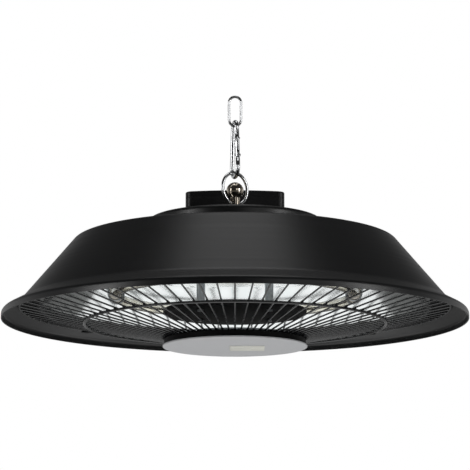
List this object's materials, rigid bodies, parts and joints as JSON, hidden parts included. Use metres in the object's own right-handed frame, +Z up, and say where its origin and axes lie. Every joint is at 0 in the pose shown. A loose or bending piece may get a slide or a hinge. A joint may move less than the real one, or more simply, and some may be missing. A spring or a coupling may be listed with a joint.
{
  "type": "hanging infrared patio heater",
  "caption": "Round black shade-shaped infrared heater with ring tubes behind a radial wire grille, hung from a ring, spring hook and chain link.",
  "frame": {"origin": "inside top of the chain link, where a ceiling hook bears", "axes": "+Z up along the heater's axis, +Y from the grille's front towards the control box behind the stem, +X to the right seen from the front"},
  "size_m": [0.425, 0.425, 0.2356],
  "materials": {
    "black_shade": "satin black powder coat on spun sheet",
    "black_cap": "satin black paint",
    "black_plastic": "fine moulded black plastic",
    "chain_steel": "bright plated",
    "nickel": "polished warm nickel",
    "zinc_steel": "zinc plated",
    "reflector_metal": "polished",
    "black_enamel": "black heat-proof enamel",
    "grille_black": "semi-gloss black coated wire",
    "quartz": "clear quartz",
    "filament": "dark wound wire",
    "ceramic": "unglazed ceramic",
    "lead_sleeve": "glass-braid sleeve",
    "black_rubber": "matt",
    "terminal_plastic": "moulded",
    "board": "circuit board",
    "relay_case": "moulded",
    "disc_silver": "fine silver-grey paint",
    "plate_pale": "plain pale film"
  },
  "bodies": {
    "link": {"chain_link": "chain_steel"},
    "hook": {"carabiner_body": "chain_steel", "gate_rivet": "chain_steel"},
    "gate": {"carabiner_gate": "chain_steel"},
    "ring": {"hanging_ring": "chain_steel"},
    "heater": {"shade": "black_shade", "top_cap": "black_cap", "control_box_base": "black_plastic", "control_box_lid": "black_plastic", "cable_gland": "black_plastic", "gland_lock_nut": "black_plastic", "gland_cap": "black_plastic", "ball_stem": "nickel", "stem_nut": "zinc_steel", "stem_washer": "zinc_steel", "hanger_strap": "zinc_steel", "box_screws": "zinc_steel", "box_nuts": "zinc_steel", "lid_screws": "zinc_steel", "frame_bolts": "zinc_steel", "frame_nuts": "zinc_steel", "frame_spacers": "zinc_steel", "heat_shield": "zinc_steel", "carrier_spacers": "zinc_steel", "carrier_screws": "zinc_steel", "holder_brackets": "zinc_steel", "bracket_screws": "zinc_steel", "tube_clips": "zinc_steel", "hub_screws": "zinc_steel", "hub_clamp": "zinc_steel", "reflector": "reflector_metal", "carrier_plate": "black_enamel", "hub_pan": "black_enamel", "grille_clips": "black_enamel", "grille_outer_ring": "grille_black", "grille_mid_ring": "grille_black", "grille_wires": "grille_black", "front_tube": "quartz", "rear_tube": "quartz", "filaments": "filament", "tube_end_caps": "ceramic", "tube_holders": "ceramic", "heater_leads": "lead_sleeve", "supply_wires": "lead_sleeve", "lid_gasket": "black_rubber", "grommet": "black_rubber", "terminal_block": "terminal_plastic", "thermal_cutout": "terminal_plastic", "control_board": "board", "relay": "relay_case", "bottom_disc": "disc_silver", "disc_plate": "plate_pale"}
  },
  "joints": [
    {"name": "hook_swing", "type": "hinge", "parent": "link", "child": "hook", "pos_m": [0, 0, -0.0264], "axis": [1, 0, 0], "range_deg": [-45, 45]},
    {"name": "gate_open", "type": "hinge", "parent": "hook", "child": "gate", "pos_m": [0.00244, -0.00671, -0.0552], "axis": [-0.9397, -0.342, 0], "range_deg": [0, 16], "stiffness_Nm_per_rad": 0.02, "springref_deg": -17.19},
    {"name": "ring_swing", "type": "hinge", "parent": "hook", "child": "ring", "pos_m": [0, 0, -0.0746], "axis": [0.342, -0.9397, 0], "range_deg": [-45, 45]},
    {"name": "heater_tilt", "type": "hinge", "parent": "ring", "child": "heater", "pos_m": [0, 0, -0.1005], "axis": [0.7547, 0.6561, 0], "range_deg": [-45, 25]}
  ]
}
